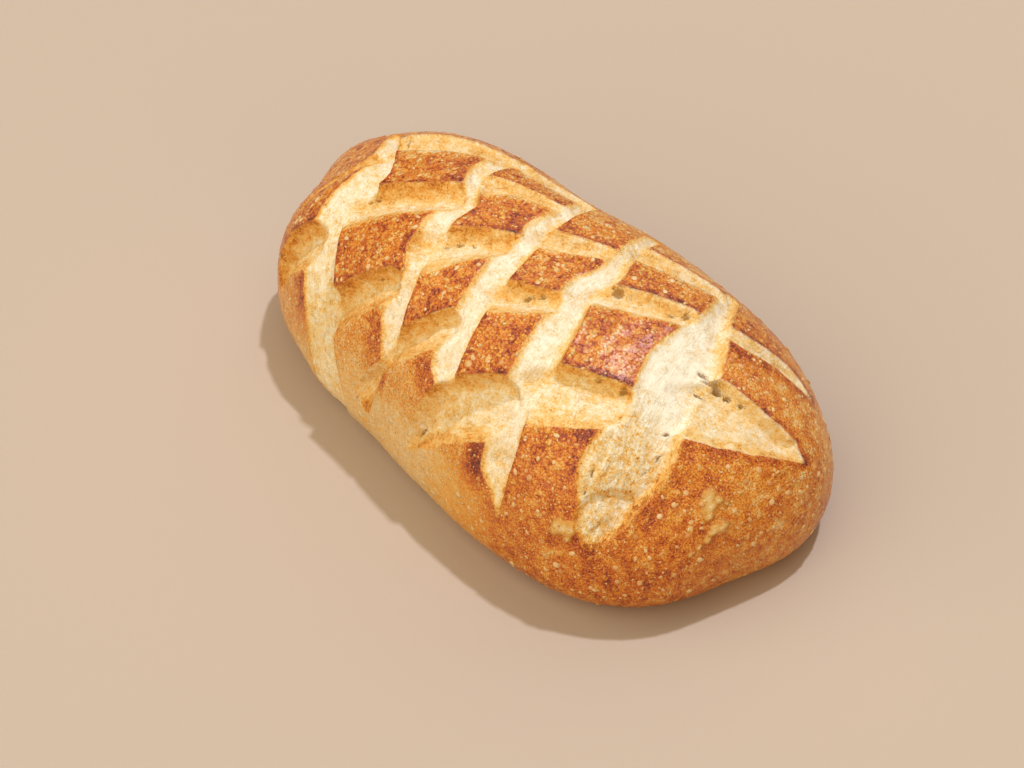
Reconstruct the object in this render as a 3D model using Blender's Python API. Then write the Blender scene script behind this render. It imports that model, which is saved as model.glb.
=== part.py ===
"""Sourdough vienna loaf: one uncut oval hearth loaf, scored in a slanting lattice.

Metres, +Z up. The origin is on the sole, under the middle of the loaf. +X runs along the loaf
to its fuller end, the sole lies in the XY plane.

The loaf is folded up from a flat pattern. The pattern is a square grid whose middle becomes the
crown and whose rows at the rim are drawn down the sides and under, to the flat sole. The baker's
cuts are laid out on the skin, opened by their widths and sunk into the crown.
"""
import bmesh
import bpy
import numpy as np
from mathutils import Matrix

# The loaf's size
LENGTH = 0.2865
WIDTH = 0.1485
HEIGHT = 0.1015

# The widest line round the loaf, and how far the sole's edge lies in from it
GIRTH_HEIGHT = 0.022
SOLE_INSET = 0.020

# The outline from above: how square each end is, and how hand shaping bent and filled it
NEAR_SQUARENESS = 2.34
FAR_SQUARENESS = 2.84
NEAR_FULLNESS = 0.196
BEND = 0.0084
SKEW = 0.052
DRAWN_IN_CORNERS = 0.022

# The arch of the crown, from the middle down to the widest line
CROWN_POWER = 2.6
SHOULDER_POWER = 2.1

# Slow unevenness of the risen dough: crossing waves over the skin, each with the share of its
# run along and across the loaf, and its start
SWELL_HEIGHT = 0.00145
SWELL_WAVE = 0.0563
SWELL_RUNS = [(0.50, 0.31, 4.13), (-0.27, 0.62, 5.15), (0.71, -0.44, 3.45)]

# Cuts. Each one is a centre line of (along, across, opening), measured over the skin in
# millimetres from the middle of the crown. Steep cuts run across the loaf, each next one
# nearer to the fuller end, and the last tore wide open.
STEEP_CUTS = [
    [(-114, 26, 12), (-106, -12, 26), (-96, -50, 26), (-88, -78, 33), (-86, -108, 34)],
    [(-47, 40, 9), (-46, 8, 11), (-39, -20, 14), (-32.5, -44, 9), (-31, -66, 15), (-29, -83, 7)],
    [(-10, 45, 8), (-7, 12, 9.5), (-2, -20, 14), (5, -48, 15), (9, -66, 17), (16, -79, 5)],
    [(25, 52, 7), (27, 18, 9), (33, -6, 17), (42, -32, 19), (50, -58, 17), (61.5, -79.5, 19.5),
     (81, -95, 2)],
    [(68, 50, 8), (70, 34, 11), (77, 21, 20), (92, 5, 30), (107, -15, 36), (116, -38.5, 51),
     (125.5, -56, 33), (131, -62.5, 21), (134.5, -67, 9)],
]
# Cross cuts slant the other way, in short lengths from one steep cut to the next.
CROSS_CUTS = [
    [(-139, -38, 4), (-124, -2, 7), (-104, 17, 13), (-80, 23, 15), (-52, 31, 13), (-14, 44, 9)],
    [(-143, -72, 14), (-128, -62, 20), (-106, -56, 23)],
    [(-88, -30, 29), (-51, -5, 21)],
    [(-38, 10, 11), (-12, 25.5, 6)],
    [(-73, -78, 17), (-41, -55, 16)],
    [(-32, -31, 23), (-10, -8, 13)],
    [(-2, 6, 14.5), (21, 19, 8)],
    [(30, 31, 13), (65, 45, 8)],
    [(-46, -104, 14), (-29, -86, 6), (-23, -76, 12), (-1, -55, 17)],
    [(7, -30, 18), (27, -16, 12)],
    [(38, 0, 17), (65, 18.5, 11.5)],
    [(78, 28, 7), (93, 37, 7), (105, 45, 7), (118, 51, 6), (130, 56, 1)],
    [(2, -107, 6), (14, -92, 22), (22, -81, 28), (43, -65, 29)],
    [(55, -46, 28), (89, -28, 19)],
    [(116, 1, 37), (131, 9, 30), (142, 17, 23), (152, 25, 14), (164, 33, 1)],
]

# How a cut opens, in millimetres: the depth of its floor, and how far its sharp wall runs in
# from its lip. The wall opposite is a long easy one, over a share of the opening: rounded in a
# cross cut, and nearly straight, by a power close to 1, in a steep cut.
STEEP_DEPTH = 5.2
STEEP_WALL_RUN = 4.0
GENTLE_POWER = 0.8
CROSS_DEPTH = 6.8
CROSS_WALL_RUN = 6.0
EASY_WALL_SHARE = 0.75
# Cuts narrower than this are shallower too, by this power of their width
NARROW_OPENING = 15.0
NARROWING_POWER = 0.7
# How sharply two crossing cuts join: the higher, the sharper
CROSSING_BLEND = 4
# A cut grows shallow towards the widest line of the loaf
FADE_START = 0.80
RIM_DEPTH_SHARE = 0.35
# The plates' edges curl up a little beside the sharp walls
LIP_RISE = 0.6
LIP_REACH = 2.5

# A layer of crumb tore away inside the widest cut and left an oval pocket: the middle and half
# sizes in millimetres over the skin, its turn in degrees, and its depth under its upper edge
POCKET = (127.0, -55.5)
POCKET_HALF = (16.5, 10.0)
POCKET_TURN = 34
POCKET_DEPTH = 2.4
POCKET_WALL_SHARE = 0.35
# Flakes of skin lifted and dried on the plates: each one's round lobes, (along, across, radius)
FLAKES = [
    [(166, -15.5, 6.2), (171, -16.5, 5.6), (176, -18, 3.6), (170.5, -11, 3.6), (175.5, -7.5, 2.0)],
    [(188, -13.5, 4.8), (186.5, -18, 5.0), (189, -23.5, 3.8), (190, -29, 2.0), (190, -34, 1.5)],
    [(111.5, -76, 4.8), (115, -74.5, 4.4), (118.5, -72, 4.8), (121, -76.5, 3.0)],
]
FLAKE_HEIGHT = 1.0
FLAKE_RIM_SHARE = 0.5

# The flat pattern. Points within SNAP of a lip, in millimetres, are slid onto it.
GRID_ALONG = 220
GRID_ACROSS = 150
SNAP = 1.3
TUCK_ROWS = 5
SOLE_ROWS = (0.72, 0.36)
FINISHED_TRIANGLES = 11000
FLAT_BELOW = 0.00002

MM = 0.001
SKIN_ALONG = LENGTH * np.pi / 4
SKIN_ACROSS = WIDTH * np.pi / 4


def outline(turn):
    """Reach of the squared oval in a direction, and the unevenness of its rim there."""
    c, s = np.cos(turn), np.sin(turn)
    squareness = FAR_SQUARENESS + (NEAR_SQUARENESS - FAR_SQUARENESS) * (0.5 + 0.5 * c)
    reach = (np.abs(c) ** squareness + np.abs(s) ** squareness) ** (-1 / squareness)
    uneven = 1 + SKEW * np.sin(3 * turn) - DRAWN_IN_CORNERS * np.cos(4 * turn)
    return reach, uneven


def from_above(u, v, inset=0.0):
    """Place seen from above for a place on the unit disc, drawn in by an inset at the rim."""
    reach, uneven = outline(np.arctan2(v, u))
    along, across = u * reach, v * reach
    x = (LENGTH / 2 * uneven - inset) * along
    y = (WIDTH / 2 * uneven * (1 + NEAR_FULLNESS * along) - inset) * across
    return x, y + BEND * (1 - along ** 2)


def crown(u, v):
    """The smooth loaf before cutting: the disc raised to the arch of the crown."""
    r = np.minimum(np.hypot(u, v), 1.0)
    out = np.sin(r * np.pi / 2)
    x, y = from_above(u * out / np.maximum(r, 1e-9), v * out / np.maximum(r, 1e-9))
    arch = (1 - out ** CROWN_POWER) ** (1 / SHOULDER_POWER)
    return np.stack([x, y, GIRTH_HEIGHT + (HEIGHT - GIRTH_HEIGHT) * arch], -1)


def crown_normal(u, v):
    """Outward direction of the smooth crown, from its slopes along and across."""
    step = 1e-3
    r = np.hypot(u, v)
    pull = np.minimum(1.0, (1 - 2 * step) / np.maximum(r, 1e-9))
    u, v = u * pull, v * pull
    along = crown(u + step, v) - crown(u - step, v)
    across = crown(u, v + step) - crown(u, v - step)
    normal = np.cross(along, across)
    return normal / np.linalg.norm(normal, axis=-1, keepdims=True)


def smooth(t):
    t = np.clip(t, 0, 1)
    return t * t * (3 - 2 * t)


def wall(t):
    """Fall from a lip: steepest at the lip itself, level at the floor."""
    return 1 - (1 - np.clip(t, 0, 1)) ** 2


def across_cut(along, across, cut):
    """Distance outside a cut's lips, half its opening, and the offset to the left of its line."""
    outside = np.full(along.shape, 1e9)
    half = np.zeros(along.shape)
    left = np.zeros(along.shape)
    for (x0, y0, w0), (x1, y1, w1) in zip(cut, cut[1:]):
        dx, dy = x1 - x0, y1 - y0
        t = np.clip(((along - x0) * dx + (across - y0) * dy) / (dx * dx + dy * dy), 0, 1)
        half_here = (w0 + t * (w1 - w0)) / 2
        outside_here = np.hypot(along - x0 - t * dx, across - y0 - t * dy) - half_here
        left_here = (dx * (across - y0) - dy * (along - x0)) / np.hypot(dx, dy)
        nearer = outside_here < outside
        outside = np.where(nearer, outside_here, outside)
        half = np.where(nearer, half_here, half)
        left = np.where(nearer, left_here, left)
    return outside, half, left


def outside_cuts(along, across):
    """Distance over the skin to the nearest lip, negative inside a cut."""
    return np.min([across_cut(along, across, cut)[0] for cut in STEEP_CUTS + CROSS_CUTS], axis=0)


def cut_depth(along, across):
    """Depth of all the cuts below the crown, and how far the plates' lips rise."""
    total = np.zeros(along.shape)
    lip = np.zeros(along.shape)
    for cut in STEEP_CUTS + CROSS_CUTS:
        outside, half, left = across_cut(along, across, cut)
        beyond_end = outside + half - np.abs(left)
        to_left = half - left - beyond_end
        to_right = half + left - beyond_end
        easy = to_right / (EASY_WALL_SHARE * 2 * half)
        if cut in CROSS_CUTS:
            depth = CROSS_DEPTH * wall(to_left / CROSS_WALL_RUN) * wall(easy)
        else:
            gentle = np.clip(easy, 0, 1) ** GENTLE_POWER
            depth = STEEP_DEPTH * wall(to_left / STEEP_WALL_RUN) * gentle
        opening = np.minimum(2 * half / NARROW_OPENING, 1) ** NARROWING_POWER
        total += (np.where(outside < 0, depth, 0) * opening) ** CROSSING_BLEND
        rise = LIP_RISE * opening * np.exp(-np.abs(to_left) / LIP_REACH - beyond_end)
        lip = np.maximum(lip, rise)
    return total ** (1 / CROSSING_BLEND), lip


def pocket_depth(along, across):
    """Depth of the torn pocket, deepest under its upper edge and running out below."""
    turn = np.radians(POCKET_TURN)
    beside, above = along - POCKET[0], across - POCKET[1]
    lengthways = (beside * np.cos(turn) + above * np.sin(turn)) / POCKET_HALF[0]
    crossways = (above * np.cos(turn) - beside * np.sin(turn)) / POCKET_HALF[1]
    inside = 1 - np.hypot(lengthways, crossways)
    return POCKET_DEPTH * wall(inside / POCKET_WALL_SHARE) * smooth(0.5 + 0.7 * crossways)


def lifted(along, across):
    """How far inside a flake's rim a place is: 1 in the middle of a lobe, 0 off the flakes."""
    lobes = [1 - np.hypot(along - x, across - y) / r for flake in FLAKES for x, y, r in flake]
    return np.clip(np.max(lobes, axis=0), 0, 1)


def swell(along, across):
    """Slow unevenness of the dough, in millimetres."""
    k = 2 * np.pi * MM / SWELL_WAVE
    waves = [np.sin(k * (run_along * along + run_across * across) + start)
             for run_along, run_across, start in SWELL_RUNS]
    return SWELL_HEIGHT / MM * np.mean(waves, axis=0)


def relief(u, v):
    """Height of the cut and risen crust over the smooth crown, in metres."""
    along, across = u * SKIN_ALONG / MM, v * SKIN_ACROSS / MM
    depth, lip = cut_depth(along, across)
    depth = depth + pocket_depth(along, across)
    flakes = FLAKE_HEIGHT * smooth(lifted(along, across) / FLAKE_RIM_SHARE)
    fade = 1 - (1 - RIM_DEPTH_SHARE) * smooth((np.hypot(u, v) - FADE_START) / (1 - FADE_START))
    return ((lip - depth) * fade + swell(along, across) + flakes) * MM


def fold(u, v, row):
    """Fold the flat pattern up: row 0 is the crown, the rows below it go down and under."""
    place = crown(u, v) + crown_normal(u, v) * relief(u, v)[:, None]
    tucked = np.clip(-row / TUCK_ROWS, 0, 1) * np.pi / 2
    x, y = from_above(u, v, SOLE_INSET * (1 - np.cos(tucked)))
    rim_x, rim_y = from_above(u, v)
    x += (place[:, 0] - rim_x) * np.cos(tucked)
    y += (place[:, 1] - rim_y) * np.cos(tucked)
    z = place[:, 2] * (1 - np.sin(tucked))
    drawn_in = np.ones(len(row))
    for k, share in enumerate(SOLE_ROWS):
        drawn_in[np.isclose(row, -TUCK_ROWS - 1 - k)] = share
    middle_y = BEND / 2
    under = np.stack([x * drawn_in, middle_y + (y - middle_y) * drawn_in, z], -1)
    return np.where((row < -0.5)[:, None], under, place)


def round_pattern(bm):
    """Round the square grid to a disc, and slide the points near a lip onto it."""
    s, t = np.array([vert.co[:2] for vert in bm.verts]).T
    u, v = s * np.sqrt(1 - t * t / 2), t * np.sqrt(1 - s * s / 2)
    along, across = u * SKIN_ALONG / MM, v * SKIN_ACROSS / MM
    step = 0.05
    outside = outside_cuts(along, across)
    on_lip = (np.abs(outside) < SNAP) & (np.hypot(u, v) < 1 - 1e-6)
    slide = np.where(on_lip, outside, 0) / step
    u -= slide * (outside_cuts(along + step, across) - outside) * MM / SKIN_ALONG
    v -= slide * (outside_cuts(along, across + step) - outside) * MM / SKIN_ACROSS
    for vert, place in zip(bm.verts, zip(u, v)):
        vert.co.xy = place
    lips = [vert for vert, is_on in zip(bm.verts, on_lip) if is_on]
    bmesh.ops.connect_verts(bm, verts=lips, check_degenerate=True)


def loaf_mesh():
    """The flat pattern with its rows at the rim, folded into the closed loaf."""
    bm = bmesh.new()
    bmesh.ops.create_grid(bm, x_segments=GRID_ALONG, y_segments=GRID_ACROSS, size=1.0)
    round_pattern(bm)
    for row in range(TUCK_ROWS + len(SOLE_ROWS)):
        rim = [edge for edge in bm.edges if edge.is_boundary]
        made = bmesh.ops.extrude_edge_only(bm, edges=rim)["geom"]
        for vert in made:
            if isinstance(vert, bmesh.types.BMVert):
                vert.co.z = -(row + 1)
    bmesh.ops.holes_fill(bm, edges=[edge for edge in bm.edges if edge.is_boundary])
    pattern = np.array([vert.co[:] for vert in bm.verts])
    for vert, place in zip(bm.verts, fold(*pattern.T)):
        vert.co = place
    bmesh.ops.recalc_face_normals(bm, faces=bm.faces)
    bmesh.ops.triangulate(bm, faces=bm.faces)
    mesh = bpy.data.meshes.new("loaf")
    bm.to_mesh(mesh)
    bm.free()
    return mesh


def crust_material():
    """Baked crust: golden brown, dry, with a faint shine."""
    material = bpy.data.materials.new("crust")
    material.use_nodes = True
    shader = material.node_tree.nodes["Principled BSDF"]
    shader.inputs["Base Color"].default_value = (0.55, 0.27, 0.08, 1)
    shader.inputs["Roughness"].default_value = 0.55
    shader.inputs["Metallic"].default_value = 0.0
    material.diffuse_color = (0.55, 0.27, 0.08, 1)
    return material


def thin_out(loaf):
    """Keep few faces where the loaf is smooth, and stand it on the middle of its sole."""
    thin = loaf.modifiers.new("Thin out", "DECIMATE")
    thin.ratio = FINISHED_TRIANGLES / len(loaf.data.polygons)
    bpy.context.view_layer.update()
    evaluated = loaf.evaluated_get(bpy.context.evaluated_depsgraph_get())
    thinned = bpy.data.meshes.new_from_object(evaluated)
    loaf.modifiers.remove(thin)
    loaf.data = thinned
    places = np.array([vert.co[:] for vert in thinned.vertices])
    middle = (places.min(axis=0) + places.max(axis=0)) / 2
    thinned.transform(Matrix.Translation((-middle[0], -middle[1], 0)))
    for vert in thinned.vertices:
        if vert.co.z < FLAT_BELOW:
            vert.co.z = 0


for old in list(bpy.data.objects):
    bpy.data.objects.remove(old)
collection = bpy.data.collections.new("Sourdough vienna loaf")
bpy.context.scene.collection.children.link(collection)

loaf = bpy.data.objects.new("loaf", loaf_mesh())
collection.objects.link(loaf)
thin_out(loaf)
loaf.data.materials.append(crust_material())
loaf.data.shade_smooth()
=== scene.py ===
"""Sourdough vienna loaf: the finish of the crust and the torn cuts, on a plain pale table."""

import math

import bmesh
import bpy
import numpy as np
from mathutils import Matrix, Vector, noise


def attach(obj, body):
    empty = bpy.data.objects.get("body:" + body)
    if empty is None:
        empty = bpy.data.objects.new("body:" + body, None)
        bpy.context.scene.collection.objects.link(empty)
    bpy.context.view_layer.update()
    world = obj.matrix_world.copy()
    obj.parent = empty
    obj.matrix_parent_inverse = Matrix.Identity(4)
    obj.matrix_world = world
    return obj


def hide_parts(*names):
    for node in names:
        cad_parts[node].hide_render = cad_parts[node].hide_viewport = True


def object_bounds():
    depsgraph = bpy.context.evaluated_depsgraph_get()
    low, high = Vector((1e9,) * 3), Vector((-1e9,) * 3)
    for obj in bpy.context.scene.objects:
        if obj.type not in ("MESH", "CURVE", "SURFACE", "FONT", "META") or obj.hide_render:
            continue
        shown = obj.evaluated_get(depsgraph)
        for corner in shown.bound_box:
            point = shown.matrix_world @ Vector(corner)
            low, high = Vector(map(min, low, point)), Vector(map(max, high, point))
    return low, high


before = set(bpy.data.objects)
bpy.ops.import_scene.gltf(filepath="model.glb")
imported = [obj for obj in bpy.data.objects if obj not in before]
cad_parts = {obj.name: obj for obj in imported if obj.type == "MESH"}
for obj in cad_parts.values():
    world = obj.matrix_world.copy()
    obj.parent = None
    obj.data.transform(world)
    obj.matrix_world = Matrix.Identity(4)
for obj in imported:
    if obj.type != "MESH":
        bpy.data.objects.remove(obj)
cad_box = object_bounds()


# The camera
# A long lens well above the table looks down past the loaf's fuller end and along its side.
# It aims at the middle of the loaf's form, and the picture is shifted a little to frame it.
FORM_ORIGIN = Vector((0.00116, -0.00542, 0))
CAMERA_TURN = math.radians(47.12)
CAMERA_RISE = math.radians(46)
CAMERA_DISTANCE = 2.03
SENSOR_WIDTH = 36
PICTURE = Vector((1024, 768))
FORM_ORIGIN_IN_PICTURE = Vector((523.3, 421.3))
PIXELS_PER_METRE = 2283.6

towards_camera = Vector((
    math.sin(CAMERA_TURN) * math.cos(CAMERA_RISE),
    -math.cos(CAMERA_TURN) * math.cos(CAMERA_RISE),
    math.sin(CAMERA_RISE),
))
camera = bpy.data.objects.new("camera", bpy.data.cameras.new("camera"))
camera.location = FORM_ORIGIN + CAMERA_DISTANCE * towards_camera
camera.rotation_euler = towards_camera.to_track_quat("Z", "Y").to_euler()
camera.data.sensor_width = SENSOR_WIDTH
camera.data.lens = SENSOR_WIDTH * PIXELS_PER_METRE * CAMERA_DISTANCE / PICTURE.x
camera.data.shift_x = (PICTURE.x / 2 - FORM_ORIGIN_IN_PICTURE.x) / PICTURE.x
camera.data.shift_y = (FORM_ORIGIN_IN_PICTURE.y - PICTURE.y / 2) / PICTURE.x
camera.data.clip_end = 20
bpy.context.scene.collection.objects.link(camera)
bpy.context.scene.camera = camera


# The loaf
# One piece of sourdough, shaped by hand and baked on a flat hearth. The skin is folded up from
# a flat pattern, and the baker's cuts are laid out on it in millimetres, opened and sunk.
LENGTH = 0.2865
WIDTH = 0.1485
HEIGHT = 0.1015
GIRTH_HEIGHT = 0.022
SOLE_INSET = 0.020
NEAR_SQUARENESS = 2.34
FAR_SQUARENESS = 2.84
NEAR_FULLNESS = 0.196
BEND = 0.0084
SKEW = 0.052
DRAWN_IN_CORNERS = 0.022
CROWN_POWER = 2.6
SHOULDER_POWER = 2.1
SWELL_HEIGHT = 0.00145
SWELL_WAVE = 0.0563
SWELL_RUNS = [(0.50, 0.31, 4.13), (-0.27, 0.62, 5.15), (0.71, -0.44, 3.45)]

# Each cut is a centre line of (along, across, opening), in millimetres over the skin.
STEEP_CUTS = [
    [(-114, 26, 12), (-106, -12, 26), (-96, -50, 26), (-88, -78, 33), (-86, -108, 34)],
    [(-47, 40, 9), (-46, 8, 11), (-39, -20, 14), (-32.5, -44, 9), (-31, -66, 15), (-29, -83, 7)],
    [(-10, 45, 8), (-7, 12, 9.5), (-2, -20, 14), (5, -48, 15), (9, -66, 17), (16, -79, 5)],
    [(25, 52, 7), (27, 18, 9), (33, -6, 17), (42, -32, 19), (50, -58, 17), (61.5, -79.5, 19.5),
     (81, -95, 2)],
    [(68, 50, 8), (70, 34, 11), (77, 21, 20), (92, 5, 30), (107, -15, 36), (116, -38.5, 51),
     (125.5, -56, 33), (131, -62.5, 21), (134.5, -67, 9)],
]
CROSS_CUTS = [
    [(-139, -38, 4), (-124, -2, 7), (-104, 17, 13), (-80, 23, 15), (-52, 31, 13), (-14, 44, 9)],
    [(-143, -72, 14), (-128, -62, 20), (-106, -56, 23)],
    [(-88, -30, 29), (-51, -5, 21)],
    [(-38, 10, 11), (-12, 25.5, 6)],
    [(-73, -78, 17), (-41, -55, 16)],
    [(-32, -31, 23), (-10, -8, 13)],
    [(-2, 6, 14.5), (21, 19, 8)],
    [(30, 31, 13), (65, 45, 8)],
    [(-46, -104, 14), (-29, -86, 6), (-23, -76, 12), (-1, -55, 17)],
    [(7, -30, 18), (27, -16, 12)],
    [(38, 0, 17), (65, 18.5, 11.5)],
    [(78, 28, 7), (93, 37, 7), (105, 45, 7), (118, 51, 6), (130, 56, 1)],
    [(2, -107, 6), (14, -92, 22), (22, -81, 28), (43, -65, 29)],
    [(55, -46, 28), (89, -28, 19)],
    [(116, 1, 37), (131, 9, 30), (142, 17, 23), (152, 25, 14), (164, 33, 1)],
]
STEEP_DEPTH = 5.2
STEEP_WALL_RUN = 4.0
GENTLE_POWER = 0.8
CROSS_DEPTH = 6.8
CROSS_WALL_RUN = 6.0
EASY_WALL_SHARE = 0.75
NARROW_OPENING = 15.0
NARROWING_POWER = 0.7
CROSSING_BLEND = 4
FADE_START = 0.80
RIM_DEPTH_SHARE = 0.35
LIP_RISE = 0.6
LIP_REACH = 2.5

# A layer of crumb tore away inside the widest cut and left an oval pocket: the middle and half
# sizes in millimetres over the skin, its turn in degrees, and its depth under its upper edge
POCKET = (127.0, -55.5)
POCKET_HALF = (16.5, 10.0)
POCKET_TURN = 34
POCKET_DEPTH = 2.4
POCKET_WALL_SHARE = 0.35
# Flakes of skin lifted and dried on the plates: each one's round lobes, (along, across, radius)
FLAKES = [
    [(166, -15.5, 6.2), (171, -16.5, 5.6), (176, -18, 3.6), (170.5, -11, 3.6), (175.5, -7.5, 2.0)],
    [(188, -13.5, 4.8), (186.5, -18, 5.0), (189, -23.5, 3.8), (190, -29, 2.0), (190, -34, 1.5)],
    [(111.5, -76, 4.8), (115, -74.5, 4.4), (118.5, -72, 4.8), (121, -76.5, 3.0)],
]
FLAKE_HEIGHT = 1.0
FLAKE_RIM_SHARE = 0.5
# Torn holes in the crumb, mostly at the foot of the walls: each one's (along, across, half
# length, half width, turn), in millimetres over the skin and degrees
HOLES = [
    (97, 12, 3.4, 1.5, 20), (103.5, 12.5, 4.4, 2.0, 12), (108.5, 13, 3.4, 1.7, 20),
    (114, 15.5, 2.8, 1.3, 15), (120.5, 18.5, 2.0, 1.0, 25), (108, 5.5, 4.4, 0.9, 20),
    (-95, -22, 2.0, 0.8, 45), (-90.3, -20, 2.6, 1.0, 40), (-30.5, -23.5, 2.2, 0.8, 55),
    (-26.5, -19, 2.4, 1.0, 42), (-22, -15.5, 1.2, 0.7, 45), (20, -15.5, 2.2, 0.8, 40),
    (15, -19.5, 3.6, 1.0, 50), (71.7, -25.3, 2.4, 1.0, 25), (86, -21, 3.0, 1.1, 30),
    (38.3, 8, 3.0, 1.8, 30), (59.2, 18, 2.8, 0.8, 35), (63.4, 21.3, 2.4, 1.2, 20),
    (119.3, -16.3, 2.2, 1.0, 50), (127, -25, 2.6, 0.8, -80), (127.8, -34, 2.8, 0.9, -88),
    (104, -52.5, 2.8, 0.8, -46), (109.3, -58.8, 1.7, 1.0, -46), (-50, -55.7, 1.8, 0.8, 45),
    (6.3, -101, 2.6, 1.5, 60), (-101, 22.7, 2.6, 0.7, 45),
]
HOLE_DEPTH = 1.4
HOLE_WALL_SHARE = 0.6
HOLE_RIM_RISE = 0.3
HOLE_RIM_SHARE = 0.25

# The pattern is fine enough for torn lips, strands and small holes.
GRID_ALONG = 350
GRID_ACROSS = 225
SNAP = 0.64
MERGED = 0.0012
TUCK_ROWS = 8
SOLE_ROWS = (0.72, 0.36)
MM = 0.001
SKIN_ALONG = LENGTH * np.pi / 4
SKIN_ACROSS = WIDTH * np.pi / 4


def outline(turn):
    """Reach of the squared oval in a direction, and the unevenness of its rim there."""
    c, s = np.cos(turn), np.sin(turn)
    squareness = FAR_SQUARENESS + (NEAR_SQUARENESS - FAR_SQUARENESS) * (0.5 + 0.5 * c)
    reach = (np.abs(c) ** squareness + np.abs(s) ** squareness) ** (-1 / squareness)
    uneven = 1 + SKEW * np.sin(3 * turn) - DRAWN_IN_CORNERS * np.cos(4 * turn)
    return reach, uneven


def from_above(u, v, inset=0.0):
    """Place seen from above for a place on the unit disc, drawn in by an inset at the rim."""
    reach, uneven = outline(np.arctan2(v, u))
    along, across = u * reach, v * reach
    x = (LENGTH / 2 * uneven - inset) * along
    y = (WIDTH / 2 * uneven * (1 + NEAR_FULLNESS * along) - inset) * across
    return x, y + BEND * (1 - along ** 2)


def crown(u, v):
    """The smooth loaf before cutting: the disc raised to the arch of the crown."""
    r = np.minimum(np.hypot(u, v), 1.0)
    out = np.sin(r * np.pi / 2)
    x, y = from_above(u * out / np.maximum(r, 1e-9), v * out / np.maximum(r, 1e-9))
    arch = (1 - out ** CROWN_POWER) ** (1 / SHOULDER_POWER)
    return np.stack([x, y, GIRTH_HEIGHT + (HEIGHT - GIRTH_HEIGHT) * arch], -1)


def crown_normal(u, v):
    """Outward direction of the smooth crown, from its slopes along and across."""
    step = 1e-3
    r = np.hypot(u, v)
    pull = np.minimum(1.0, (1 - 2 * step) / np.maximum(r, 1e-9))
    u, v = u * pull, v * pull
    along = crown(u + step, v) - crown(u - step, v)
    across = crown(u, v + step) - crown(u, v - step)
    normal = np.cross(along, across)
    return normal / np.linalg.norm(normal, axis=-1, keepdims=True)


def smooth(t):
    """Smooth step: 0 up to t = 0, and 1 from t = 1 on."""
    t = np.clip(t, 0, 1)
    return t * t * (3 - 2 * t)


def wall(t):
    """Fall from a lip: steepest at the lip itself, level at the floor."""
    return 1 - (1 - np.clip(t, 0, 1)) ** 2


LAYER_STEP = 7.3


def grain(along, across, size, layer):
    """Uneven field from -1 to 1 over the skin, with lumps of a size in millimetres."""
    places = zip(along / size, across / size, np.full(along.shape, LAYER_STEP * layer))
    return np.array([noise.noise(place) for place in places])


def across_cut(along, across, cut):
    """Distance outside a cut's lips, half its opening, offset to the left of it, run along it."""
    outside = np.full(along.shape, 1e9)
    half, left, run = np.zeros((3,) + along.shape)
    start = 0.0
    for (x0, y0, w0), (x1, y1, w1) in zip(cut, cut[1:]):
        dx, dy = x1 - x0, y1 - y0
        length = math.hypot(dx, dy)
        t = np.clip(((along - x0) * dx + (across - y0) * dy) / length ** 2, 0, 1)
        half_here = (w0 + t * (w1 - w0)) / 2
        outside_here = np.hypot(along - x0 - t * dx, across - y0 - t * dy) - half_here
        nearer = outside_here < outside
        outside = np.where(nearer, outside_here, outside)
        half = np.where(nearer, half_here, half)
        left = np.where(nearer, (dx * (across - y0) - dy * (along - x0)) / length, left)
        run = np.where(nearer, start + t * length, run)
        start += length
    return outside, half, left, run


def outside_cuts(along, across):
    """Distance over the skin to the nearest lip, negative inside a cut."""
    return np.min([across_cut(along, across, cut)[0] for cut in STEEP_CUTS + CROSS_CUTS], axis=0)


# For each plate, the cuts of one set run along its left and right edges, as the camera sees
# it, and those of the other set below and above it.
EDGES_BESIDE = {"steep": ("left_edge", "right_edge"), "cross": ("lower_edge", "upper_edge")}
OTHER_SIDE = 3.0
WALL_SHARING = 1.2
DEPTH_SHARING = 5.0
# Each cut's run starts this far on from the last one's, so that no two have the same strands
RUN_STEP = 300


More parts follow.
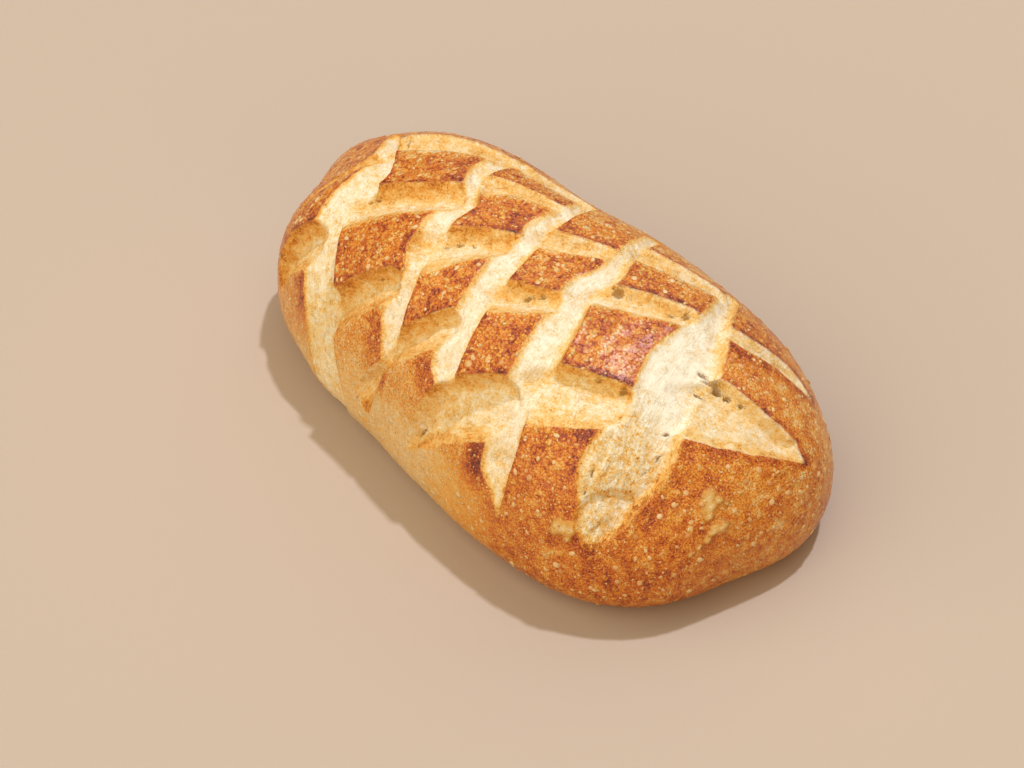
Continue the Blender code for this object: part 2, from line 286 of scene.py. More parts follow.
def cut_fields(along, across):
    """What the cuts do at each place: depth, lip rise, and the facts that the finish needs."""
    zero, far = np.zeros(along.shape), np.full(along.shape, 1e3)
    total, lip_rise = zero, zero
    fields = {edge: far for pair in EDGES_BESIDE.values() for edge in pair}
    walls = {edge: zero for edge in fields}
    nearest, all_walls, deepest = far, zero + 1e-30, {}
    for kind, cuts in (("steep", STEEP_CUTS), ("cross", CROSS_CUTS)):
        deepest[kind], closest = zero, far
        above, below = EDGES_BESIDE[kind]
        fields[kind + "_run"], fields[kind + "_off"] = zero, zero
        for number, cut in enumerate(cuts):
            outside, half, left, run = across_cut(along, across, cut)
            beyond_end = outside + half - np.abs(left)
            to_left = half - left - beyond_end
            to_right = half + left - beyond_end
            easy = to_right / (EASY_WALL_SHARE * 2 * half)
            if kind == "cross":
                depth = CROSS_DEPTH * wall(to_left / CROSS_WALL_RUN) * wall(easy)
            else:
                gentle = np.clip(easy, 0, 1) ** GENTLE_POWER
                depth = STEEP_DEPTH * wall(to_left / STEEP_WALL_RUN) * gentle
            opening = np.minimum(2 * half / NARROW_OPENING, 1) ** NARROWING_POWER
            depth = np.where(outside < 0, depth, 0) * opening
            total = total + depth ** CROSSING_BLEND
            rise = LIP_RISE * opening * np.exp(-np.abs(to_left) / LIP_REACH - beyond_end)
            lip_rise = np.maximum(lip_rise, rise)
            nearest = np.minimum(nearest, outside)
            closeness = np.exp(-outside / WALL_SHARING)
            all_walls = all_walls + closeness
            for edge, side in ((above, left), (below, -left)):
                distance = outside + OTHER_SIDE * np.maximum(-side, 0)
                fields[edge] = np.minimum(fields[edge], distance)
                walls[edge] = walls[edge] + closeness * smooth(0.5 + side / half)
            nearer = outside < closest
            run = run + RUN_STEP * number
            fields[kind + "_run"] = np.where(nearer, run, fields[kind + "_run"])
            fields[kind + "_off"] = np.where(nearer, left, fields[kind + "_off"])
            closest = np.minimum(closest, outside)
            deepest[kind] = np.maximum(deepest[kind], depth)
    fields["outside"] = nearest
    for edge in walls:
        fields[edge.replace("edge", "wall")] = walls[edge] / all_walls
    fields["depth"] = total ** (1 / CROSSING_BLEND)
    fields["lip_rise"] = lip_rise
    fields["is_cross"] = smooth(0.5 + (deepest["cross"] - deepest["steep"]) / DEPTH_SHARING)
    return fields


def across_pocket(along, across):
    """How far inside the torn pocket's rim a place is, and how far above its middle."""
    turn = np.radians(POCKET_TURN)
    beside, above = along - POCKET[0], across - POCKET[1]
    lengthways = (beside * np.cos(turn) + above * np.sin(turn)) / POCKET_HALF[0]
    crossways = (above * np.cos(turn) - beside * np.sin(turn)) / POCKET_HALF[1]
    return 1 - np.hypot(lengthways, crossways), crossways


def pocket_depth(along, across):
    """Depth of the torn pocket, deepest under its upper edge and running out below."""
    inside, above = across_pocket(along, across)
    return POCKET_DEPTH * wall(inside / POCKET_WALL_SHARE) * smooth(0.5 + 0.7 * above)


def pocket_rim_shadow(along, across):
    """Closeness to the upper rim of the pocket, where a shadow is painted into the crumb."""
    inside, above = across_pocket(along, across)
    return np.exp(-((inside - 0.08) / 0.10) ** 2) * smooth(0.4 + 1.2 * above)


def inside_holes(along, across):
    """How far inside the nearest torn hole a place is: 1 in its middle, below 0 outside."""
    inside = np.full(along.shape, -1.0)
    for hole_along, hole_across, length, width, turn in HOLES:
        turn = np.radians(turn)
        beside, above = along - hole_along, across - hole_across
        lengthways = (beside * np.cos(turn) + above * np.sin(turn)) / length
        crossways = (above * np.cos(turn) - beside * np.sin(turn)) / width
        inside = np.maximum(inside, 1 - np.hypot(lengthways, crossways))
    return inside


def lifted(along, across):
    """How far inside a flake's rim a place is: 1 in the middle of a lobe, 0 off the flakes."""
    lobes = [1 - np.hypot(along - x, across - y) / r for flake in FLAKES for x, y, r in flake]
    return np.clip(np.max(lobes, axis=0), 0, 1)


def swell(along, across):
    """Slow unevenness of the dough, in millimetres."""
    k = 2 * np.pi * MM / SWELL_WAVE
    waves = [np.sin(k * (run_along * along + run_across * across) + start)
             for run_along, run_across, start in SWELL_RUNS]
    return SWELL_HEIGHT / MM * np.mean(waves, axis=0)


# Torn edges wander, plates are lumpy, and the floors of the cuts are lumpy and drawn out in
# strands. Each lump's (size, height) and the other values are in millimetres.
LIP_WANDER = [(9.0, 0.30), (3.0, 0.22)]
PLATE_LUMPS = [(7.0, 0.35), (2.6, 0.16)]
STRAND_LENGTH = 14.0
STRAND_WIDTH = 2.2
STRAND_HEIGHT = 0.40
FLOOR_LUMPS = [(9.0, 0.5), (3.0, 0.22)]
PLATE_EDGE = 1.5
FLOOR_EDGE = 0.6
FLOOR_EDGE_RUN = 3.0


def wander(along, across):
    """How far torn edges wander from the baker's straight lines."""
    shift_along = sum(height * grain(along, across, size, 1) for size, height in LIP_WANDER)
    shift_across = sum(height * grain(along, across, size, 2) for size, height in LIP_WANDER)
    return shift_along, shift_across


def relief(u, v):
    """Height of the finished crust over the smooth crown, in millimetres, and its fields."""
    along, across = u * SKIN_ALONG / MM, v * SKIN_ACROSS / MM
    shift_along, shift_across = wander(along, across)
    fields = cut_fields(along + shift_along, across + shift_across)
    fade = 1 - (1 - RIM_DEPTH_SHARE) * smooth((np.hypot(u, v) - FADE_START) / (1 - FADE_START))
    # Where a shadow is painted under the pocket's upper rim
    fields["pocket_rim_shadow"] = pocket_rim_shadow(along + 2 * shift_along, across + 2 * shift_across)
    fields["pocket"] = pocket_depth(along + 2 * shift_along, across + 2 * shift_across)
    fields["hole"] = inside_holes(along + 3 * shift_along, across + 3 * shift_across)
    fields["lifted"] = lifted(along + 4 * shift_along, across + 4 * shift_across)
    height = (fields["lip_rise"] - fields["depth"] - fields["pocket"]) * fade
    height -= HOLE_DEPTH * smooth(fields["hole"] / HOLE_WALL_SHARE)
    height += HOLE_RIM_RISE * np.exp(-((fields["hole"] + HOLE_RIM_SHARE) / HOLE_RIM_SHARE) ** 2)
    height += swell(along, across) + FLAKE_HEIGHT * smooth(fields["lifted"] / FLAKE_RIM_SHARE)
    on_plate = smooth(fields["outside"] / PLATE_EDGE)
    in_cut = smooth((-FLOOR_EDGE - fields["outside"]) / FLOOR_EDGE_RUN)
    height += on_plate * sum(h * grain(along, across, size, 3) for size, h in PLATE_LUMPS)
    height += in_cut * sum(h * grain(along, across, size, 4) for size, h in FLOOR_LUMPS)
    for kind, share in (("steep", 1 - fields["is_cross"]), ("cross", fields["is_cross"])):
        run = fields[kind + "_run"] * STRAND_WIDTH / STRAND_LENGTH
        strands = grain(run, fields[kind + "_off"], STRAND_WIDTH, 5)
        height += in_cut * share * STRAND_HEIGHT * strands
    fields["along"], fields["across"] = along, across
    # Blisters are few on the low flank, on the far side and at the far end
    near_flank = smooth((-80 - across) / 15) * smooth((100 - along) / 40)
    far_side = np.maximum(smooth((across - 80) / 25), smooth((-165 - along) / 35))
    bare = 0.8 * np.maximum(near_flank, far_side)
    fields["blister_chance"] = smooth((fields["outside"] - 0.8) / 1.2) * (1 - bare)
    return height, fields


def fold(u, v, row):
    """Fold the flat pattern up: row 0 is the crown, the rows below it go down and under."""
    height, fields = relief(u, v)
    place = crown(u, v) + crown_normal(u, v) * height[:, None] * MM
    tucked = np.clip(-row / TUCK_ROWS, 0, 1) * np.pi / 2
    x, y = from_above(u, v, SOLE_INSET * (1 - np.cos(tucked)))
    rim_x, rim_y = from_above(u, v)
    x += (place[:, 0] - rim_x) * np.cos(tucked)
    y += (place[:, 1] - rim_y) * np.cos(tucked)
    z = place[:, 2] * (1 - np.sin(tucked))
    drawn_in = np.ones(len(row))
    for k, share in enumerate(SOLE_ROWS):
        drawn_in[np.isclose(row, -TUCK_ROWS - 1 - k)] = share
    middle_y = BEND / 2
    under = np.stack([x * drawn_in, middle_y + (y - middle_y) * drawn_in, z], -1)
    fields["blister_chance"] = fields["blister_chance"] * smooth(1 + row / TUCK_ROWS)
    return np.where((row < -0.5)[:, None], under, place), fields


def round_pattern(bm):
    """Round the square grid to a disc, and slide the points near a lip onto it."""
    s, t = np.array([vert.co[:2] for vert in bm.verts]).T
    u, v = s * np.sqrt(1 - t * t / 2), t * np.sqrt(1 - s * s / 2)
    along, across = u * SKIN_ALONG / MM, v * SKIN_ACROSS / MM
    shift_along, shift_across = wander(along, across)
    torn_along, torn_across = along + shift_along, across + shift_across
    step = 0.05
    outside = outside_cuts(torn_along, torn_across)
    on_lip = (np.abs(outside) < SNAP) & (np.hypot(u, v) < 1 - 1e-6)
    slide = np.where(on_lip, outside, 0) / step
    u -= slide * (outside_cuts(torn_along + step, torn_across) - outside) * MM / SKIN_ALONG
    v -= slide * (outside_cuts(torn_along, torn_across + step) - outside) * MM / SKIN_ACROSS
    for vert, place in zip(bm.verts, zip(u, v)):
        vert.co.xy = place
    lips = [vert for vert, is_on in zip(bm.verts, on_lip) if is_on]
    bmesh.ops.remove_doubles(bm, verts=lips, dist=MERGED)
    lips = [vert for vert in lips if vert.is_valid]
    bmesh.ops.connect_verts(bm, verts=lips, check_degenerate=True)


def loaf_mesh():
    """The pattern folded into the closed loaf, with the fields that the finish reads."""
    bm = bmesh.new()
    bmesh.ops.create_grid(bm, x_segments=GRID_ALONG, y_segments=GRID_ACROSS, size=1.0)
    round_pattern(bm)
    for row in range(TUCK_ROWS + len(SOLE_ROWS)):
        rim = [edge for edge in bm.edges if edge.is_boundary]
        made = bmesh.ops.extrude_edge_only(bm, edges=rim)["geom"]
        for vert in made:
            if isinstance(vert, bmesh.types.BMVert):
                vert.co.z = -(row + 1)
    bmesh.ops.holes_fill(bm, edges=[edge for edge in bm.edges if edge.is_boundary])
    pattern = np.array([vert.co[:] for vert in bm.verts])
    places, fields = fold(*pattern.T)
    middle = (places.min(axis=0) + places.max(axis=0)) / 2
    places[:, :2] += (np.array(cad_box[0]) + np.array(cad_box[1]))[:2] / 2 - middle[:2]
    for vert, place in zip(bm.verts, places):
        vert.co = place
    bmesh.ops.recalc_face_normals(bm, faces=bm.faces)
    # Extruding lists its new faces in another order each time, and the blisters are strewn face
    # by face, so the faces are put in the order of their corners
    bm.verts.index_update()
    faces = []
    for face in bm.faces:
        corners = [vert.index for vert in face.verts]
        first = corners.index(min(corners))
        faces.append(corners[first:] + corners[:first])
    bm.free()
    mesh = bpy.data.meshes.new("crust")
    mesh.from_pydata(places, [], sorted(faces))
    for name, field in fields.items():
        mesh.attributes.new(name, "FLOAT", "POINT").data.foreach_set("value", field)
    mesh.shade_smooth()
    return mesh


# The crust's finish
# Plates of the dough's old skin bake deep brown and blister; the torn floors stay cream.
# Each colour is given as it looks on the table, and divided by the light that falls there.
LIGHT_ON_TABLE = 1.3


def looks(red, green, blue):
    """The surface colour, in linear light, that looks like a picture's 0 to 255 colour."""
    def linear(c):
        c /= 255
        return c / 12.92 if c <= 0.04045 else ((c + 0.055) / 1.055) ** 2.4
    return tuple(linear(c) / LIGHT_ON_TABLE for c in (red, green, blue)) + (1,)


class Value:
    """A socket in a node tree, with arithmetic that adds Math nodes."""

    def __init__(self, tree, socket=None):
        self.tree, self.socket = tree, socket

    def node(self, kind, settings=None, inputs=None, output=0):
        """Add a node: its settings first, then its inputs' values or links; wrap one output."""
        made = self.tree.nodes.new(kind)
        for name, setting in (settings or {}).items():
            if name == "stops":
                for k, (position, colour) in enumerate(setting):
                    ramp = made.color_ramp.elements
                    stop = ramp[0] if k == 0 else ramp[1] if k == 1 else ramp.new(position)
                    stop.position, stop.color = position, colour
            else:
                setattr(made, name, setting)
        for name, value in (inputs or {}).items():
            if isinstance(value, Value):
                self.tree.links.new(value.socket, made.inputs[name])
            else:
                made.inputs[name].default_value = value
        return Value(self.tree, made.outputs[output] if made.outputs else None)

    def maths(self, operation, *others):
        """A Math node with this value first and the others after it."""
        values = dict(enumerate((self,) + others))
        return self.node("ShaderNodeMath", {"operation": operation}, values)

    def __add__(self, other):
        return self.maths("ADD", other)

    def __sub__(self, other):
        return self.maths("SUBTRACT", other)

    def __rsub__(self, other):
        return self.maths("MULTIPLY_ADD", -1.0, other)

    def __mul__(self, other):
        return self.maths("MULTIPLY", other)

    def __truediv__(self, other):
        return self.maths("DIVIDE", other)

    __radd__ = __add__
    __rmul__ = __mul__

    def vector(self, operation, other):
        """A Vector Math node with this value first."""
        return self.node("ShaderNodeVectorMath", {"operation": operation}, {0: self, 1: other})

    def rise(self, start, end):
        """0 at start and 1 at end, smoothly; the fall the other way when start is the larger."""
        settings = {"interpolation_type": "SMOOTHSTEP"}
        low, high = min(start, end), max(start, end)
        made = self.node("ShaderNodeMapRange", settings, {"Value": self, "From Min": low,
                                                          "From Max": high})
        return made if end > start else 1 - made

    def mix(self, first, second):
        """A colour from first to second as this value goes from 0 to 1."""
        settings = {"data_type": "RGBA", "clamp_factor": True}
        return self.node("ShaderNodeMix", settings, {0: self, 6: first, 7: second}, 2)

    def ramp(self, *stops):
        """The colour for this value, from stops of (value, colour)."""
        return self.node("ShaderNodeValToRGB", {"stops": stops}, {0: self})


def finish(name):
    """A new material: its start value for building nodes, and a function that sets its shader."""
    material = bpy.data.materials.new(name)
    material.use_nodes = True
    tree = material.node_tree
    shader = tree.nodes["Principled BSDF"]

    def set_shader(**inputs):
        for key, value in inputs.items():
            socket = shader.inputs[key.replace("_", " ").title().replace("Ior", "IOR")]
            if isinstance(value, Value):
                tree.links.new(value.socket, socket)
            else:
                socket.default_value = value

    return material, Value(tree), set_shader


# How large the painted blisters are, how far their outlines wobble, and how long and wide the
# streaks in the floors are, in metres but for the streaks, which are in millimetres of the skin
LARGE_BLISTER = 0.0034
SMALL_BLISTER = 0.0015
DOT = 0.0023
WOBBLE = 0.0012
STREAK_LENGTH = 7.0
STREAK_WIDTH = 1.3


def crust_material():
    """Baked skin on the plates, papery flakes, and torn crumb in the cuts."""
    material, start, set_shader = finish("crust")

    def field(name):
        return start.node("ShaderNodeAttribute", {"attribute_name": name}, output=2)

    where = start.node("ShaderNodeTexCoord", output=3)

    def lumps(size, detail=2.0, roughness=0.55):
        """Noise from 0 to 1 with lumps of a size in metres."""
        inputs = {"Vector": where, "Scale": 1 / size, "Detail": detail, "Roughness": roughness}
        return start.node("ShaderNodeTexNoise", None, inputs)

    outside = field("outside")
    left_edge, right_edge = field("left_edge"), field("right_edge")
    upper_edge, lower_edge = field("upper_edge"), field("lower_edge")
    along, across = field("along"), field("across")
    # The low flank, the far side and the far end are plainer and more golden than the crown
    far_side = across.rise(72, 100).maths("MAXIMUM", along.rise(-160, -200))
    flank = (across.rise(-62, -86) * along.rise(100, 60)).maths("MAXIMUM", far_side)
    near_end = along.rise(75, 125)
    tear = 0.8 * (lumps(0.0013, 3) - 0.5)
    plate = (outside + tear).rise(-0.5, 0.4)

    # Blisters of three sizes: raised glossy tops, with darker skin in the gaps between them
    wobble = start.node("ShaderNodeTexNoise", None, {"Vector": where, "Scale": 600.0}, 1)
    place = where.vector("ADD", wobble.vector("MULTIPLY", (WOBBLE,) * 3))

    def blisters(size):
        """Distance from the middle of each blister of a size in metres, and its chance."""
        inputs = {"Vector": place, "Scale": 1 / size}
        near = start.node("ShaderNodeTexVoronoi", None, inputs)
        own = start.node("ShaderNodeTexVoronoi", None, inputs, 1)
        return near, start.node("ShaderNodeSeparateColor", None, {0: own})

    near_large, chance_large = blisters(LARGE_BLISTER)
    near_small, chance_small = blisters(SMALL_BLISTER)
    near_dot, chance_dot = blisters(DOT)
    blistered = along.rise(118, 78) * across.rise(-80, -56) * (1 - far_side)
    large = near_large.rise(0.62, 0.15) * chance_large.rise(0.80, 0.96) * (1 - blistered)
    large = large + near_large.rise(0.62, 0.15) * chance_large.rise(0.45, 0.80) * blistered
    small = near_small.rise(0.68, 0.20) * chance_small.rise(0.30, 0.70)
    small = small * (0.35 + 0.65 * blistered)
    dots = near_dot.rise(0.32, 0.16) * chance_dot.rise(0.45, 0.55)
    gaps = near_small.rise(0.50, 0.80) * (1 - large) * (0.3 + 0.7 * blistered)
    fine = lumps(0.0008, 3, 0.7)

    # How far the old skin is baked, from pale to dark: the plates on the crown the most, while
    # the low flank stays golden but for the corners that lifted
    patches = 0.50 * (lumps(0.014, 2) - 0.5) + 0.80 * (lumps(0.0048, 2) - 0.5)
    fuller_half = along.rise(58, 80)
    bake = 0.53 + patches + 0.46 * near_end * (lumps(0.0085, 3) - 0.5)
    bake = bake + 0.03 * near_end - 0.15 * near_end * across.rise(-48, 0)
    bake = bake + (0.14 + 0.12 * along.rise(20, 50)) * lower_edge.rise(4.0, 1.0)
    bake = bake + 0.12 * right_edge.rise(9, 2)
    bake = bake + 0.07 * left_edge.rise(3, 0.5) * (1 - near_end)
    bake = bake - 0.16 * near_end * left_edge.rise(2.5, 0.0) - 0.16 * right_edge.rise(1.6, 0.0)
    bake = bake - 0.26 * upper_edge.rise(3.0, 0.0) * (1 - 0.8 * fuller_half)
    bake = bake + 0.22 * fuller_half * upper_edge.rise(7, 1)
    bake = bake - 0.13 * across.rise(18, 36) * along.rise(-60, -20) * along.rise(95, 60)
    lifted_corner = right_edge.rise(16, 4) * upper_edge.rise(26, 8)
    above_foot = across.rise(-104, -88)
    golden = 0.10 + 0.22 * along.rise(10, 70) + 0.42 * lifted_corner + 0.19 * above_foot
    golden = golden + (0.25 + 0.35 * above_foot) * patches
    golden = golden + 0.22 * far_side * across.rise(116, 88)
    bake = bake + flank * (golden - bake)
    toasted = bake + 0.20 * gaps - 0.20 * small - 0.26 * large - 0.42 * dots
    speckle = 0.56 - 0.12 * blistered - 0.32 * flank * (1 - above_foot)
    toasted = toasted + speckle * (fine.rise(0.30, 0.70) - 0.5)
    skin = toasted.ramp(
        (0.00, looks(266, 228, 166)),
        (0.20, looks(262, 192, 80)),
        (0.40, looks(250, 151, 28)),
        (0.60, looks(226, 112, 20)),
        (0.80, looks(178, 67, 14)),
        (1.00, looks(110, 34, 8)),
    )

    # Flakes of lifted skin: papery, pale gold with whitish tops
    ragged = field("lifted") + 0.5 * (lumps(0.002, 3) - 0.5)
    flake = ragged.rise(0.06, 0.16)
    papery = (field("lifted") + 0.9 * (lumps(0.0016, 3) - 0.5)).ramp(
        (0.00, looks(214, 120, 36)),
        (0.30, looks(242, 166, 66)),
        (0.65, looks(260, 206, 116)),
        (1.00, looks(268, 236, 184)),
    )
    skin = flake.mix(skin, papery)

    # Torn floors: cream crumb, toasted golden near the lips and along its crooked creases, with
    # painted shade on the walls under the plates, under the pocket's rim and in the holes
    def drawn_out(kind):
        """Noise from 0 to 1 in streaks along the cuts of a kind."""
        run, off = field(kind + "_run") / STREAK_LENGTH, field(kind + "_off") / STREAK_WIDTH
        place = start.node("ShaderNodeCombineXYZ", None, {0: run, 1: off, 2: 0.0})
        return start.node("ShaderNodeTexNoise", None, {
            "Vector": place, "Scale": 1.0, "Detail": 3.0, "Roughness": 0.6, "Distortion": 0.7})

    def creases(size, width):
        """Thin crooked lines where a noise crosses its middle value."""
        waves = start.node("ShaderNodeTexNoise", None, {
            "Vector": where, "Scale": 1 / size, "Detail": 2.0, "Distortion": 1.2})
        return (waves - 0.5).maths("ABSOLUTE").rise(width, 0.0)

    is_cross = field("is_cross")
    strands = is_cross * drawn_out("cross") + (1 - is_cross) * drawn_out("steep")
    crumb = lumps(0.0009, 3, 0.7)
    creased = creases(0.0033, 0.030) * lumps(0.005, 1).rise(0.40, 0.62)
    ridged = creases(0.0027, 0.05)
    wide_open = along.rise(62, 100) * (1 - is_cross)
    deep_open = wide_open * across.rise(-6, -34)
    specks = lumps(0.0018, 3).rise(0.52, 0.64)
    flecks = lumps(0.0022, 3).rise(0.52, 0.64)
    toast_and_shade = 0.20 + 0.15 * is_cross + 0.55 * (lumps(0.008) - 0.5) + 0.40 * (strands - 0.5)
    toast_and_shade = toast_and_shade + 0.55 * (lumps(0.0030) - 0.5) + 0.8 * (crumb - 0.5)
    toast_and_shade = toast_and_shade + 0.22 * creased - 0.08 * ridged
    toast_and_shade = toast_and_shade + (0.05 + 0.13 * deep_open) * specks - (0.06 + 0.12 * deep_open) * flecks
    toast_and_shade = toast_and_shade + 0.7 * deep_open * (lumps(0.0042, 2) - 0.5)
    toast_and_shade = toast_and_shade - 0.18 * wide_open + 0.38 * deep_open
    # The walls under the plates' lower edges are darker golden, reaching well down into the floor:
    # partly toasted crust and partly painted shade
    wall_toast_and_shade = (1 - flank * across.rise(-76, -94)) * field("lower_wall")
    wall_toast_and_shade = wall_toast_and_shade * (0.2 + 0.8 * across.rise(32, -8) * along.rise(150, 120))
    toast_and_shade = toast_and_shade + 0.22 * wall_toast_and_shade * outside.rise(-9.0, -2.0)
    toast_and_shade = toast_and_shade + 0.18 * wall_toast_and_shade * outside.rise(-2.2, -0.2)
    toast_and_shade = toast_and_shade + 0.42 * field("left_wall") * outside.rise(-6.5, -0.5)
    toast_and_shade = toast_and_shade + 0.30 * field("right_wall") * outside.rise(-3.0, -0.2) * (1 + 0.6 * near_end)
    toast_and_shade = toast_and_shade + 0.28 * field("upper_wall") * outside.rise(-9.0, 0.0)
    toast_and_shade = toast_and_shade + 0.10 * along.rise(20, -110) + 0.10 * across.rise(-56, -95)
    # Painted shadow in the crumb under the pocket's upper rim, where its steep wall drops away
    toast_and_shade = toast_and_shade + 0.40 * field("pocket_rim_shadow") * lumps(0.003, 2).rise(0.35, 0.60)
    floor = toast_and_shade.ramp(
        (0.00, looks(282, 268, 236)),
        (0.22, looks(270, 248, 206)),
        (0.48, looks(264, 216, 130)),
        (0.74, looks(250, 170, 64)),
        (1.00, looks(190, 100, 32)),
    )

    # The torn holes are painted dark olive-brown: painted shade inside them
    hole = (field("hole") + 1.6 * (crumb - 0.5)).rise(-0.05, 0.50)
    floor = (hole * 0.75).mix(floor, looks(164, 112, 50))
    colour = plate.mix(floor, skin)
    skin_height = 0.00045 * small + 0.00070 * large + 0.00040 * dots
    skin_height = skin_height + (0.00060 - 0.00015 * blistered) * fine
    floor_height = 0.00045 * strands + 0.00030 * crumb + 0.00005 * ridged - 0.00013 * creased
    floor_height = floor_height + (0.00006 + 0.00010 * deep_open) * (flecks - specks)
    height = plate * skin_height + (1 - plate) * floor_height
    bump = start.node("ShaderNodeBump", None, {"Strength": 1.0, "Distance": 1.0, "Height": height})
    set_shader(
        base_color=colour,
        roughness=0.85 - 0.56 * plate + 0.15 * (fine - 0.5),
        specular_ior_level=0.4,
        coat_weight=0.25 * plate * (1 - gaps) * (1 - flake),
        coat_roughness=0.28,
        normal=bump,
    )
    return material


crust = bpy.data.objects.new("crust", loaf_mesh())
bpy.context.scene.collection.objects.link(crust)
crust.data.materials.append(crust_material())


# The larger blisters
# Small bubbles under the old skin dry out pale and stand up as low domes. They are strewn over
# the plates by a node tree, set square to the skin and sunk a little into it.
BLISTER_SIZES = {
    "Nearest": 0.0018,
    "Per square metre": 70000.0,
    "Smallest": 0.0006,
    "Growth": 0.0027,
    "Seed": 11,
}
DOME_SEGMENTS = 9
DOME_RINGS = 6
DOME_FOOT = -0.05
DOME_WIDTH_SHARE = (0.45, 1.0)
DOME_HEIGHT_SHARE = (0.16, 0.36)
FULL_TURN = 6.28


def blister_material():
    """Dry pale skin, paler at the tips, and each blister in a tone of its own."""
    material, start, set_shader = finish("blister")
    tone = start.node("ShaderNodeAttribute", {"attribute_name": "tone"}, output=2)
    tip = start.node("ShaderNodeAttribute", {"attribute_name": "tip"}, output=2)
    where = start.node("ShaderNodeTexCoord", output=3)
    grain_inputs = {"Vector": where, "Scale": 1400.0, "Detail": 2.0}
    fine = start.node("ShaderNodeTexNoise", None, grain_inputs)
    pale = tone * 0.60 + 0.7 * (fine - 0.5) + 0.30 * tip
    colour = pale.ramp(
        (0.00, looks(214, 122, 46)),
        (0.35, looks(232, 156, 76)),
        (0.70, looks(248, 200, 130)),
        (1.00, looks(256, 226, 176)),
    )
    set_shader(base_color=colour, roughness=0.42 + 0.1 * (fine - 0.5), specular_ior_level=0.6)
    return material


def blister_tree():
    """Domes strewn over a skin by its chance of blisters, with sizes and a seed as inputs."""
    tree = bpy.data.node_groups.new("blisters", "GeometryNodeTree")
    sockets = {}
    for name, kind in (("Skin", "Geometry"), ("Nearest", "Float"), ("Per square metre", "Float"),
                       ("Smallest", "Float"), ("Growth", "Float"), ("Seed", "Int"),
                       ("Finish", "Material")):
        made = tree.interface.new_socket(name, in_out="INPUT", socket_type="NodeSocket" + kind)
        sockets[name] = made.identifier
    tree.interface.new_socket("Domes", in_out="OUTPUT", socket_type="NodeSocketGeometry")
    inputs = Value(tree).node("NodeGroupInput")
    given = {name: Value(tree, inputs.socket.node.outputs[name]) for name in sockets}
    start = Value(tree)

    def chance(low, high, seed):
        """A random value between two, drawn anew for each blister."""
        settings = {"data_type": "FLOAT"}
        inputs = {2: low, 3: high, "Seed": seed}
        return start.node("FunctionNodeRandomValue", settings, inputs, 1)

    def store(geometry, domain, name, value):
        """Keep a value with each point or each instance, under a name for the material."""
        settings = {"data_type": "FLOAT", "domain": domain}
        inputs = {"Geometry": geometry, "Name": name, "Value": value}
        return start.node("GeometryNodeStoreNamedAttribute", settings, inputs)

    likely = start.node("GeometryNodeInputNamedAttribute", {"data_type": "FLOAT"}, {
        "Name": "blister_chance"})
    strewn = start.node("GeometryNodeDistributePointsOnFaces", {"distribute_method": "POISSON"}, {
        "Mesh": given["Skin"], "Distance Min": given["Nearest"],
        "Density Max": given["Per square metre"], "Density Factor": likely,
        "Seed": given["Seed"]})
    square_on = Value(tree, strewn.socket.node.outputs["Rotation"])

    # One dome: a sphere cut off just under its middle
    dome = start.node("GeometryNodeMeshUVSphere", None, {
        "Segments": DOME_SEGMENTS, "Rings": DOME_RINGS, "Radius": 0.5})
    place = start.node("GeometryNodeInputPosition")
    height = start.node("ShaderNodeSeparateXYZ", None, {0: place}, 2)
    under_foot = start.node("FunctionNodeCompare", {
        "data_type": "FLOAT", "operation": "LESS_THAN"}, {0: height, 1: DOME_FOOT})
    dome = start.node("GeometryNodeDeleteGeometry", {"domain": "POINT"}, {
        "Geometry": dome, "Selection": under_foot})
    dome = store(dome, "POINT", "tip", 2 * height)

    # Many are small and few are large, and each is stretched, flattened and spun by chance
    size = given["Smallest"] + given["Growth"] * chance(0.0, 1.0, 3).maths("POWER", 3)
    width = size * chance(*DOME_WIDTH_SHARE, 4)
    thickness = size * chance(*DOME_HEIGHT_SHARE, 5)
    stretch = start.node("ShaderNodeCombineXYZ", None, {0: size, 1: width, 2: thickness})
    spin = start.node("FunctionNodeAxisAngleToRotation", None, {
        "Axis": (0, 0, 1), "Angle": chance(0.0, FULL_TURN, 6)})
    turned = start.node("FunctionNodeRotateRotation", {"rotation_space": "LOCAL"}, {
        0: square_on, 1: spin})
    domes = start.node("GeometryNodeInstanceOnPoints", None, {
        "Points": strewn, "Instance": dome, "Rotation": turned, "Scale": stretch})
    domes = store(domes, "INSTANCE", "tone", chance(0.0, 1.0, 7))
    domes = start.node("GeometryNodeRealizeInstances", None, {"Geometry": domes})
    domes = start.node("GeometryNodeSetShadeSmooth", None, {"Geometry": domes})
    domes = start.node("GeometryNodeSetMaterial", None, {
        "Geometry": domes, "Material": given["Finish"]})
    start.node("NodeGroupOutput", None, {"Domes": domes})
    return tree, sockets


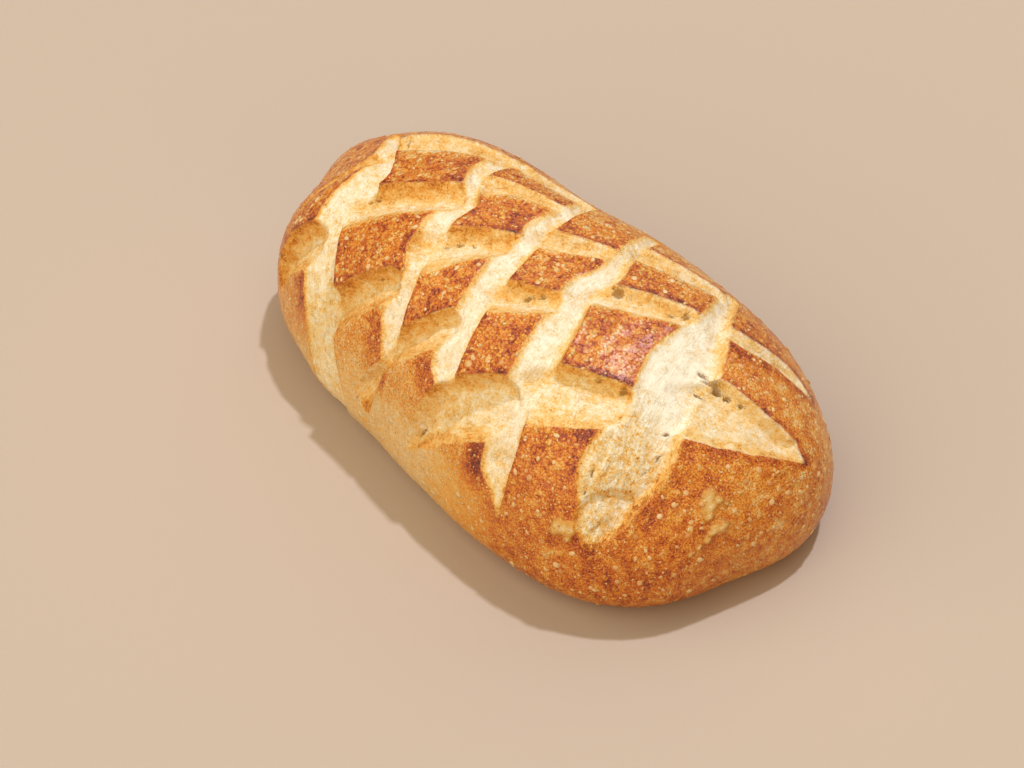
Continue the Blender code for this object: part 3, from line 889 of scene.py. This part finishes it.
tree, sockets = blister_tree()
grower = crust.modifiers.new("blisters", "NODES")
grower.node_group = tree
for name, value in BLISTER_SIZES.items():
    grower[sockets[name]] = value
grower[sockets["Finish"]] = blister_material()
grown = crust.evaluated_get(bpy.context.evaluated_depsgraph_get())
blisters = bpy.data.objects.new("blisters", bpy.data.meshes.new_from_object(grown))
crust.modifiers.remove(grower)
bpy.context.scene.collection.objects.link(blisters)

for piece in (crust, blisters):
    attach(piece, "root")
    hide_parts("loaf")


# The table and the light
# A plain warm grey table top under a high key light from behind the loaf, with a firm shadow
# edge, and soft lights from the back, the left, the fuller end and all round. Each of these
# gives a share of the light on the table, in red, green and blue, and the key light the rest.
ALL_ROUND = (0.15, 0.142, 0.13)
BACK = (0.20, 0.19, 0.17)
LEFT = (0.36, 0.355, 0.305)
FULLER_END = (0.130, 0.100, 0.057)
TABLE_REACH = 6

table = bpy.data.objects.new("table", bpy.data.meshes.new("table"))
bm = bmesh.new()
bmesh.ops.create_grid(bm, x_segments=1, y_segments=1, size=TABLE_REACH)
bm.to_mesh(table.data)
bm.free()
bpy.context.scene.collection.objects.link(table)
material, _, set_shader = finish("table")
set_shader(base_color=looks(215, 191, 167), roughness=0.9, specular_ior_level=0.0)
table.data.materials.append(material)


def light(name, rise, turn, angle, share):
    """A far light, placed by angles in degrees, that gives the table a share of its light."""
    rise, turn = math.radians(rise), math.radians(turn)
    lamp = bpy.data.objects.new(name, bpy.data.lights.new(name, "SUN"))
    direction = (math.cos(rise) * math.cos(turn), math.cos(rise) * math.sin(turn), math.sin(rise))
    lamp.rotation_euler = Vector(direction).to_track_quat("Z", "Y").to_euler()
    colour = [math.pi / math.sin(rise) * part for part in share]
    lamp.data.energy = max(colour)
    lamp.data.color = [part / max(colour) for part in colour]
    lamp.data.angle = math.radians(angle)
    bpy.context.scene.collection.objects.link(lamp)


soft_lights = (ALL_ROUND, BACK, LEFT, FULLER_END)
light("key", 72, 90.5, 3, [LIGHT_ON_TABLE - sum(soft) for soft in zip(*soft_lights)])
light("back", 50, 118, 70, BACK)
light("left", 40, 250, 80, LEFT)
light("fuller end", 22, 325, 80, FULLER_END)

world = bpy.data.worlds.new("fill")
world.use_nodes = True
world.node_tree.nodes["Background"].inputs["Color"].default_value = ALL_ROUND + (1,)
bpy.context.scene.world = world
bpy.context.scene.view_settings.view_transform = "Standard"
